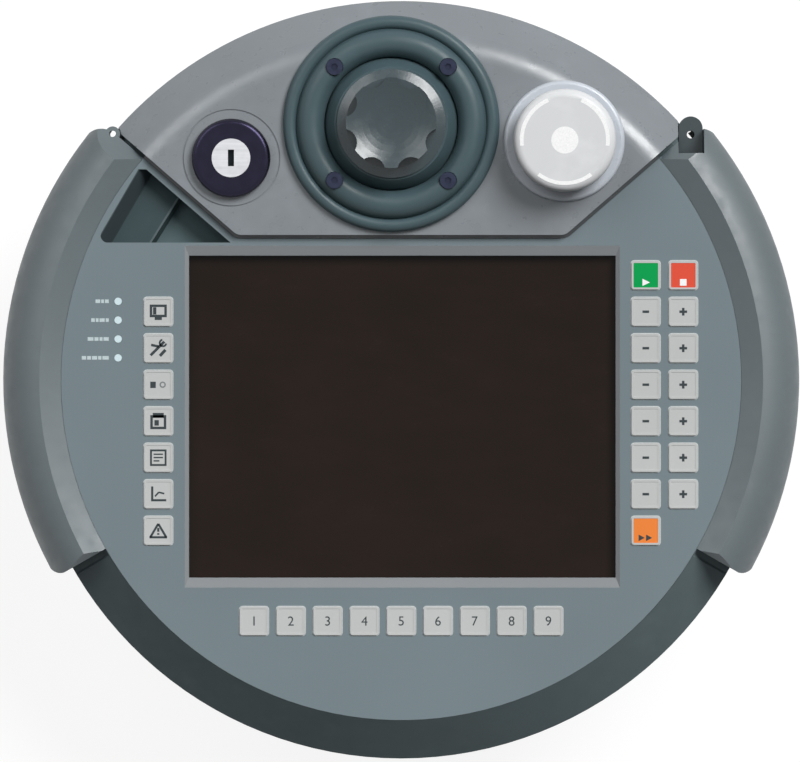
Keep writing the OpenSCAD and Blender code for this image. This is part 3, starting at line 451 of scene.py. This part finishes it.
def blocks(name, outlines, finish, body):
    """A piece of closed blocks, each given as its lower and its upper outline in metres."""
    mesh = bmesh.new()
    for under, over in outlines:
        low = [mesh.verts.new(corner) for corner in under]
        high = [mesh.verts.new(corner) for corner in over]
        mesh.faces.new(high)
        mesh.faces.new(low[::-1])
        for i in range(len(low)):
            k = (i + 1) % len(low)
            mesh.faces.new((low[i], low[k], high[k], high[i]))
    bmesh.ops.recalc_face_normals(mesh, faces=mesh.faces)
    data = bpy.data.meshes.new(name)
    mesh.to_mesh(data)
    mesh.free()
    dress(name, data, finish, body)


def plate(name, shapes, top, finish, body, place=(0, 0)):
    """A thin printed piece: every shape in millimetres round place, lying on the height top in metres."""
    outlines = []
    for shape in shapes:
        plan = [((x + place[0]) * MM, (y + place[1]) * MM) for x, y in shape]
        outlines.append([[(x, y, z) for x, y in plan] for z in (top, top + PLATE * MM)])
    blocks(name, outlines, finish, body)


def wedge(name, shape, heights, low, finish):
    """A piece of the housing on the height low, with a height of its own at each corner, in metres."""
    plan = [(x * MM, y * MM) for x, y in shape]
    over = [(x, y, z) for (x, y), z in zip(plan, heights)]
    blocks(name, [([(x, y, low) for x, y in plan], over)], finish, "housing")


def numeral(name, text, top, finish, body, place, size):
    """A plain number, size millimetres high, centred on place."""
    curve = bpy.data.curves.new(name, "FONT")
    curve.body, curve.align_x, curve.align_y = text, "CENTER", "CENTER"
    curve.size = size / CAP_SHARE * MM
    curve.extrude = PLATE / 2 * MM
    source = bpy.data.objects.new(name + "_text", curve)
    bpy.context.scene.collection.objects.link(source)
    bpy.context.view_layer.update()
    data = bpy.data.meshes.new_from_object(source.evaluated_get(bpy.context.evaluated_depsgraph_get()))
    bpy.data.objects.remove(source)
    bpy.data.curves.remove(curve)
    data.name = name
    low, high = (Vector([pick(v.co[i] for v in data.vertices) for i in range(3)]) for pick in (min, max))
    target = Vector((place[0] * MM, place[1] * MM, top + PLATE / 2 * MM))
    data.transform(Matrix.Translation(target - (low + high) / 2))
    dress(name, data, finish, body)


def middle_of(node):
    """Middle of a node in plan, in millimetres, and the height of its top in metres."""
    low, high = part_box(node)
    return ((low.x + high.x) / 2 / MM, (low.y + high.y) / 2 / MM), high.z


DARK = ink("sign_dark", colour(48, 56, 59))
GREYED = ink("sign_grey", colour(120, 124, 125))
WHITE = ink("sign_white", colour(250, 251, 251))
LABEL = ink("label_white", colour(190, 204, 207))
# Flat colours painted on the tray: shade on the sloped step of its shelf, and a highlight along the shelf's
# edge
TRAY_PAINTED_SHADE = ink("tray_painted_shade", colour(54, 68, 70))
TRAY_PAINTED_HIGHLIGHT = ink("tray_painted_highlight", colour(80, 93, 96))


# ---------------------------------------------------------------- keys, in millimetres

key_low, key_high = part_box("key_left_1")
KEY_W = (key_high.x - key_low.x) / MM
KEY_ROUND, KEY_GAP = 1.0, 0.3
KEY_DISH = 0.15  # how far the middle of a key lies below its raised edge
BAR = 0.45  # half the width of a plus or minus sign's bars
NUMBER_H = 3.4
FIELD_INSET, FIELD_ROUND = 0.7, 0.4
SIGN_DOWN = 2.6  # from the middle of a coloured key down to its sign
WEB_START, WEB_END = 0.04, 0.05  # how far the web starts off a key's edge, and ends past the gap

# Left column: screen, tool, points, job, list, chart, caution
LEFT_SIGNS = {
    "key_left_1": [
        *border(-3.1, -2.0, 3.1, 2.6, 0.9), box(-1.3, -3.0, 1.3, -2.0), box(-1.9, -1.0, -0.7, 1.6)],
    "key_left_2": [
        stroke((-2.8, -2.6), (2.2, 2.4), 1.0), stroke((-2.6, 1.2), (0.2, 0.6), 0.9),
        stroke((0.6, -2.8), (2.6, -0.6), 1.1), *arc(1.7, 1.9, 1.2, 0.7, 225, 250, 10)],
    "key_left_3": [box(-2.9, -1.2, -0.9, 1.1)],
    "key_left_4": [
        *border(-2.9, -2.9, 2.9, 2.2, 0.9), box(-2.0, 1.2, 2.0, 3.0), box(-1.4, -1.6, 0.2, 0.4)],
    "key_left_5": [
        *border(-3.0, -3.0, 3.0, 3.0, 0.7), box(-1.7, 1.0, 1.7, 1.5), box(-1.7, -0.2, 1.7, 0.3),
        box(-1.7, -1.4, 0.4, -0.9)],
    "key_left_6": [
        box(-2.6, -2.6, -1.8, 2.8), box(-1.8, -2.6, 2.9, -1.8), stroke((-1.2, -0.8), (0.2, 0.7), 0.6),
        stroke((0.2, 0.7), (2.2, 0.2), 0.6)],
    "key_left_7": [
        stroke((-2.9, -2.4), (0, 2.5), 0.8), stroke((0, 2.5), (2.9, -2.4), 0.8), box(-3.2, -2.8, 3.2, -2.0),
        box(-0.4, -0.4, 0.4, 1.0), box(-0.4, -1.5, 0.4, -0.9)],
}
LEFT_RING = arc(1.6, 0, 0.9, 0.5, 0, 360, 20)

# Right columns: less and more
RIGHT_SIGNS = {
    "minus": [box(-1.2, -BAR, 1.2, BAR)],
    "plus": [box(-1.4, -BAR, 1.4, BAR), box(-BAR, BAR, BAR, 1.4), box(-BAR, -1.4, BAR, -BAR)],
}

# Start, stop and step keys: a coloured field inside a pale edge, with a small sign low on it
MODE_SIGNS = {
    "key_green": ([[(-1.2, -1.3), (1.5, 0), (-1.2, 1.3)]], WHITE),
    "key_red": ([box(-1.2, -1.2, 1.2, 1.2)], WHITE),
    "key_orange": ([[(-2.6, -1.2), (-0.4, 0), (-2.6, 1.2)], [(0.1, -1.2), (2.3, 0), (0.1, 1.2)]], DARK),
}


def on_key(key, part, shapes, finish, down=0, lift=0):
    """Prints shapes on a key, in millimetres round its middle, or down from it and lifted off the key."""
    (x, y), top = middle_of(key)
    plate(f"{key}_{part}", shapes, top + (lift - KEY_DISH) * MM, finish, key + "_cap", (x, y - down))


def key_signs():
    """Signs of the left column, the right columns, the coloured keys and the bottom row."""
    for key, shapes in LEFT_SIGNS.items():
        on_key(key, "sign", shapes, DARK)
    on_key("key_left_3", "ring", LEFT_RING, GREYED)
    for i in range(1, 7):
        for kind, shapes in RIGHT_SIGNS.items():
            on_key(f"key_{kind}_{i}", "sign", shapes, DARK)
    for key, (shapes, tone) in MODE_SIGNS.items():
        nodes[key].data.materials[0] = FINISH["key_grey"]
        on_key(key, "field", [rounded(KEY_W - 2 * FIELD_INSET, FIELD_ROUND)], FINISH[key])
        on_key(key, "sign", shapes, tone, down=SIGN_DOWN, lift=PLATE)
    for i in range(1, 10):
        key = f"key_number_{i}"
        place, top = middle_of(key)
        numeral(key + "_sign", str(i), top - KEY_DISH * MM, DARK, key + "_cap", place, NUMBER_H)


def key_webs():
    """The film is one skin: it closes the gap round each key."""
    web = ink("key_web", colour(196, 200, 200))
    inner = rounded(KEY_W + 2 * WEB_START, KEY_ROUND + WEB_START)
    outer = rounded(KEY_W + 2 * (KEY_GAP + WEB_END), KEY_ROUND + KEY_GAP + WEB_END)
    count = len(inner)
    strips = [[inner[i], outer[i], outer[(i + 1) % count], inner[(i + 1) % count]] for i in range(count)]
    for key in sorted(n for n in nodes if n.startswith("key_") and "switch" not in n):
        place, _ = middle_of(key)
        plate(key + "_web", strips, panel_top, web, "housing", place)


key_signs()
key_webs()


# ---------------------------------------------------------------- labels, tray, stop button, in millimetres

LABEL_GAP, LABEL_H, BAR_GAP = 3.4, 1.3, 0.35
LABEL_BARS = ((1.4, 1.0, 1.7), (1.1, 1.9, 1.0, 1.3), (1.9, 1.1, 1.5, 2.1), (2.3, 1.2, 1.9, 1.4, 1.6))

TRAY_ROUND, TRAY_TURNS = 2.5, 8  # radius of the corner at the wall's foot, and the number of its facets
# widths of the wall's slope, of the step's slope and of the painted highlight along the shelf's edge
WALL_RUN, STEP_RUN, EDGE_W = 5, 1.4, 0.7
WALL_HEAD = 1.001  # the wall's height at its head, as a share of the depth, so that it closes at the rim
COVER_ANGLE = math.radians(41)
COVER_SIDE = 3  # from the control cover's slanted edge to the tray
tray_low, tray_high = TRAY_WALL[0][1], TRAY_WALL[1][1]
cover_corner = (-(tray_high * math.cos(COVER_ANGLE) + COVER_SIDE) / math.sin(COVER_ANGLE), tray_high)

SPOT_R = 4.9
ARC_R, ARC_W, ARC_SPAN, ARC_MIDDLES = 15.6, 1.4, 75, (30, 150, 270)


def light_labels():
    """Plain bars beside the status lights."""
    (lights_x, lights_y), _ = middle_of("status_lights")
    low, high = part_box("status_lights")
    span = ((high.y - low.y) - (high.x - low.x)) / MM
    for i, bars in enumerate(LABEL_BARS):
        x = lights_x - LABEL_GAP
        shapes = []
        for width in bars:
            shapes.append(box(x - width, -LABEL_H / 2, x, LABEL_H / 2))
            x -= width + BAR_GAP
        y = lights_y + span * (0.5 - i / (len(LABEL_BARS) - 1))
        plate(f"light_label_{i + 1}", shapes, panel_top, LABEL, "housing", (0, y))


def heading(line):
    """Angle of a line from its foot to its head."""
    (x0, y0), (x1, y1) = line
    return math.atan2(y1 - y0, x1 - x0)


def distance(point, line):
    """How far a point lies to the right of a line."""
    angle = heading(line)
    return (point[0] - line[0][0]) * math.sin(angle) - (point[1] - line[0][1]) * math.cos(angle)


def beside(line, reach):
    """Where the line reach to the right of a line meets the tray's low edge and its edge at the cover."""
    angle = heading(line)
    past = (reach - distance(cover_corner, line)) / math.sin(angle + COVER_ANGLE)
    return [
        (line[0][0] + reach / math.sin(angle), tray_low),
        (cover_corner[0] + past * math.cos(COVER_ANGLE), tray_high - past * math.sin(COVER_ANGLE))]


def tray():
    """The tray's sloped left wall, the sloped step of its shelf painted dark as shade, and a painted highlight
    along the shelf's edge.
    """
    shelf, deep = panel_top - TRAY_SHELF * MM, panel_top - TRAY_FLOOR * MM
    foot, head = TRAY_WALL
    angle = heading(TRAY_WALL)
    x, y = foot[0] + TRAY_ROUND / math.tan(angle / 2), foot[1] + TRAY_ROUND
    turns = [angle + math.pi / 2 + (math.pi - angle) * i / TRAY_TURNS for i in range(TRAY_TURNS + 1)]
    wall = [(x + TRAY_ROUND * math.cos(a), y + TRAY_ROUND * math.sin(a)) for a in turns]
    wall += [*beside(TRAY_WALL, WALL_RUN), cover_corner, head]
    heights = [shelf + TRAY_SHELF * MM * (WALL_HEAD - distance(p, TRAY_WALL) / WALL_RUN) for p in wall]
    wedge("tray_wall", wall, heights, shelf, FINISH["shell_plastic"])

    back, edge, step = (beside(TRAY_STEP, reach) for reach in (-EDGE_W, 0, STEP_RUN))
    over, under = shelf + PLATE * MM, deep + PLATE * MM
    # the step's slope, in painted shade
    wedge("tray_step", [edge[0], *step, edge[1]], [over, under, under, over], deep, TRAY_PAINTED_SHADE)
    # a thin strip of painted highlight along the shelf's edge
    wedge("tray_edge_painted_highlight", [back[0], *edge, back[1]], [over] * 4, shelf, TRAY_PAINTED_HIGHLIGHT)


def stop_signs():
    """A spot and three turning arcs, the way that the stop button turns to let go."""
    place, top = middle_of("stop_button")
    plate("stop_spot", [disc(SPOT_R)], top, WHITE, "stop_head", place)
    for i, middle in enumerate(ARC_MIDDLES):
        shapes = arc(0, 0, ARC_R, ARC_W, middle, ARC_SPAN)
        plate(f"stop_arc_{i + 1}", shapes, top, WHITE, "stop_head", place)


light_labels()
tray()
stop_signs()


# ---------------------------------------------------------------- floor, light and camera


def seen_directly(tree):
    """1 for rays from the camera, a gloss or a glass, and 0 for the rest."""
    path = tree.nodes.new("ShaderNodeLightPath")
    highest = path.outputs["Is Camera Ray"]
    for key in ("Is Glossy Ray", "Is Transmission Ray"):
        most = tree.nodes.new("ShaderNodeMath")
        most.operation = "MAXIMUM"
        tree.links.new(highest, most.inputs[0])
        tree.links.new(path.outputs[key], most.inputs[1])
        highest = most.outputs[0]
    return highest


def strengths(tree, lighting, seen):
    """The strength lighting for rays that only bring light, and seen for those that show the surface."""
    level = tree.nodes.new("ShaderNodeMapRange")
    level.inputs["To Min"].default_value = lighting
    level.inputs["To Max"].default_value = seen
    tree.links.new(seen_directly(tree), level.inputs["Value"])
    return level.outputs["Result"]


def floor(bounce, seen, grey, side=24, drop=0.0003):
    """A floor that the camera and gloss see as white, with the object's shadow on its grey, and that lights
    the object's sides from below at the strength bounce."""
    bpy.ops.mesh.primitive_plane_add(size=side, location=(0, 0, -drop))
    plane = bpy.context.object
    plane.name = "floor"
    material = bpy.data.materials.new("floor")
    material.use_nodes = True
    tree = material.node_tree
    tree.nodes.clear()
    output = tree.nodes.new("ShaderNodeOutputMaterial")
    total = tree.nodes.new("ShaderNodeAddShader")
    diffuse = tree.nodes.new("ShaderNodeBsdfDiffuse")
    diffuse.inputs["Color"].default_value = (grey, grey, grey, 1)
    glow = tree.nodes.new("ShaderNodeEmission")
    tree.links.new(strengths(tree, bounce, seen), glow.inputs["Strength"])
    tree.links.new(diffuse.outputs[0], total.inputs[0])
    tree.links.new(glow.outputs[0], total.inputs[1])
    tree.links.new(total.outputs[0], output.inputs["Surface"])
    plane.data.materials.append(material)


def surroundings(light):
    """A white backdrop that lights the object at the strength light."""
    world = bpy.data.worlds.new("studio")
    bpy.context.scene.world = world
    world.use_nodes = True
    tree = world.node_tree
    background = tree.nodes["Background"]
    background.inputs["Color"].default_value = (1, 1, 1, 1)
    tree.links.new(strengths(tree, light, 1.0), background.inputs["Strength"])


def lamp(name, strength, toward, angle):
    """A wide, soft lamp far away in the direction toward."""
    data = bpy.data.lights.new(name, "SUN")
    data.energy = strength * math.pi
    data.angle = math.radians(angle)
    item = bpy.data.objects.new(name, data)
    item.rotation_euler = Vector(toward).to_track_quat("Z", "Y").to_euler()
    bpy.context.scene.collection.objects.link(item)


floor(bounce=0.3, seen=0.89, grey=0.16)
surroundings(light=0.04)
lamp("key_lamp", strength=1.02, toward=(0.46, 0.5, 0.75), angle=30)
lamp("second_lamp", strength=0.24, toward=(-0.5, 0.48, 0.75), angle=34)

# The camera looks straight down at the height HEIGHT, where half of what it sees across is HALF_WIDTH
HALF_WIDTH, DISTANCE, HEIGHT = 0.14572, 4.0, 0.085
AIM_X, AIM_Y = -0.00044, -0.00036
camera = bpy.data.cameras.new("camera")
camera.sensor_width = 36
camera.lens = camera.sensor_width / 2 * DISTANCE / HALF_WIDTH
camera.clip_start, camera.clip_end = 0.1, 60
eye = bpy.data.objects.new("camera", camera)
eye.location = (AIM_X, AIM_Y, HEIGHT + DISTANCE)
bpy.context.scene.collection.objects.link(eye)
bpy.context.scene.camera = eye
bpy.context.scene.view_settings.view_transform = "Standard"
